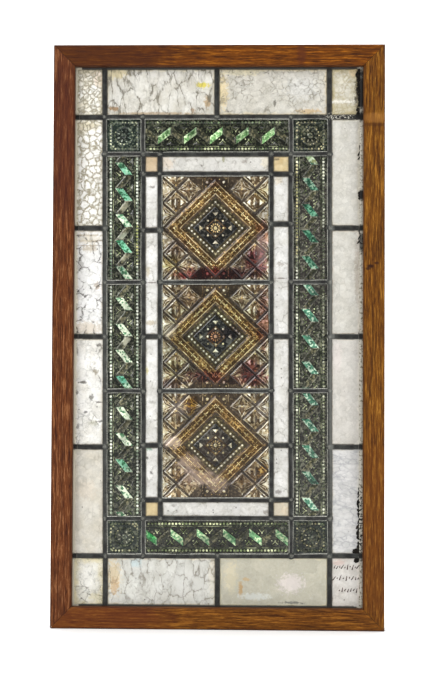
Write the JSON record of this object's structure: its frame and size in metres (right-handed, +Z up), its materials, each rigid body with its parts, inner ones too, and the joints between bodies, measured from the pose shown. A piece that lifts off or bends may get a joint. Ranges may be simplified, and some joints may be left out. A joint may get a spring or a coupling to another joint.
{
  "type": "stained glass window",
  "caption": "Upright leaded glass panel in a mitred wooden frame, with pressed amber tiles up the middle, green ribbon borders and white opal bands.",
  "frame": {"origin": "middle of the flat underside of the frame, halfway through its depth", "axes": "+Z up, -Y out of the front that shows the pressed relief, +X to the viewer's right"},
  "size_m": [0.35, 0.028, 0.615],
  "materials": {
    "frame_wood": "oiled walnut, worn satin",
    "bead_wood": "plain walnut strip",
    "lead": "dull grey lead came, darkened, with soldered joints",
    "white_glass": "white opal sheet glass, crackled and stained at the edges",
    "liner_glass": "bright white opal sheet glass",
    "cream_glass": "cream opal sheet glass",
    "green_glass": "dark green pressed glass",
    "tile_glass": "amber and ruby pressed glass"
  },
  "bodies": {
    "root": {"frame_top": "frame_wood", "frame_bottom": "frame_wood", "frame_left": "frame_wood", "frame_right": "frame_wood", "glazing_bead_top": "bead_wood", "glazing_bead_bottom": "bead_wood", "glazing_bead_left": "bead_wood", "glazing_bead_right": "bead_wood", "came_lattice": "lead", "white_corner_top_left": "white_glass", "white_corner_bottom_left": "white_glass", "white_left_1": "white_glass", "white_left_2": "white_glass", "white_left_3": "white_glass", "white_left_4": "white_glass", "white_corner_top_right": "white_glass", "white_corner_bottom_right": "white_glass", "white_right_1": "white_glass", "white_right_2": "white_glass", "white_right_3": "white_glass", "white_right_4": "white_glass", "white_top_left": "white_glass", "white_top_right": "white_glass", "white_bottom_left": "white_glass", "white_bottom_right": "white_glass", "green_corner_top_left": "green_glass", "green_corner_bottom_left": "green_glass", "green_left_1": "green_glass", "green_left_2": "green_glass", "green_left_3": "green_glass", "green_corner_top_right": "green_glass", "green_corner_bottom_right": "green_glass", "green_right_1": "green_glass", "green_right_2": "green_glass", "green_right_3": "green_glass", "green_top": "green_glass", "green_bottom": "green_glass", "liner_corner_top_left": "cream_glass", "liner_corner_bottom_left": "cream_glass", "liner_left_1": "liner_glass", "liner_left_2": "liner_glass", "liner_left_3": "liner_glass", "liner_left_4": "liner_glass", "liner_corner_top_right": "cream_glass", "liner_corner_bottom_right": "cream_glass", "liner_right_1": "liner_glass", "liner_right_2": "liner_glass", "liner_right_3": "liner_glass", "liner_right_4": "liner_glass", "liner_top": "liner_glass", "liner_bottom": "liner_glass", "tile_top": "tile_glass", "tile_middle": "tile_glass", "tile_bottom": "tile_glass"}
  },
  "joints": []
}
